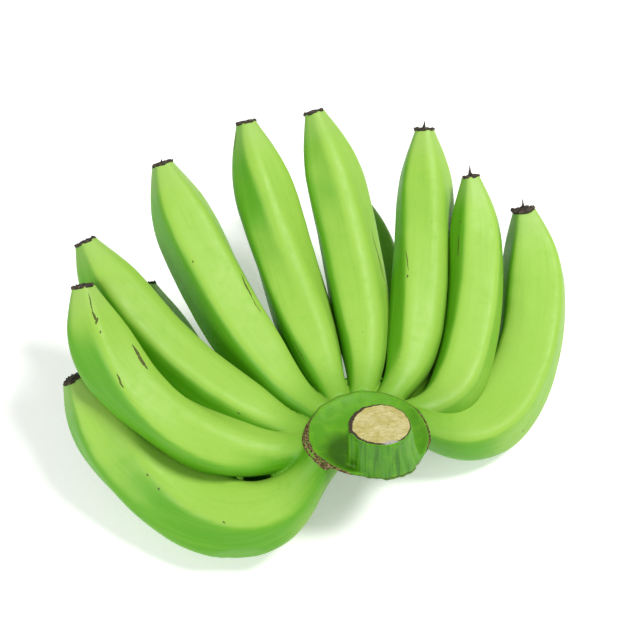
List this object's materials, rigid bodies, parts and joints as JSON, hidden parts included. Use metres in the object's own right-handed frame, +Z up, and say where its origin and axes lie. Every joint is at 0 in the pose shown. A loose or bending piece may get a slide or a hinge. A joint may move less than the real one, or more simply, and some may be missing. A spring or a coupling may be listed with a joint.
{
  "type": "hand of green bananas",
  "caption": "Hand of unripe green bananas: curved ridged fingers fanned out from one crown with a cut stub, lying on its bellies with the tips curving up.",
  "frame": {"origin": "centre of the bounding box, at the level of the surface that the hand lies on", "axes": "+Z up; +Y towards the back, where the middle fingers point; +X to the right as seen from the crown's stub side"},
  "size_m": [0.2993, 0.2636, 0.1081],
  "materials": {
    "green_peel": "waxy satin"
  },
  "bodies": {
    "root": {"banana_hand": "green_peel"}
  },
  "joints": []
}
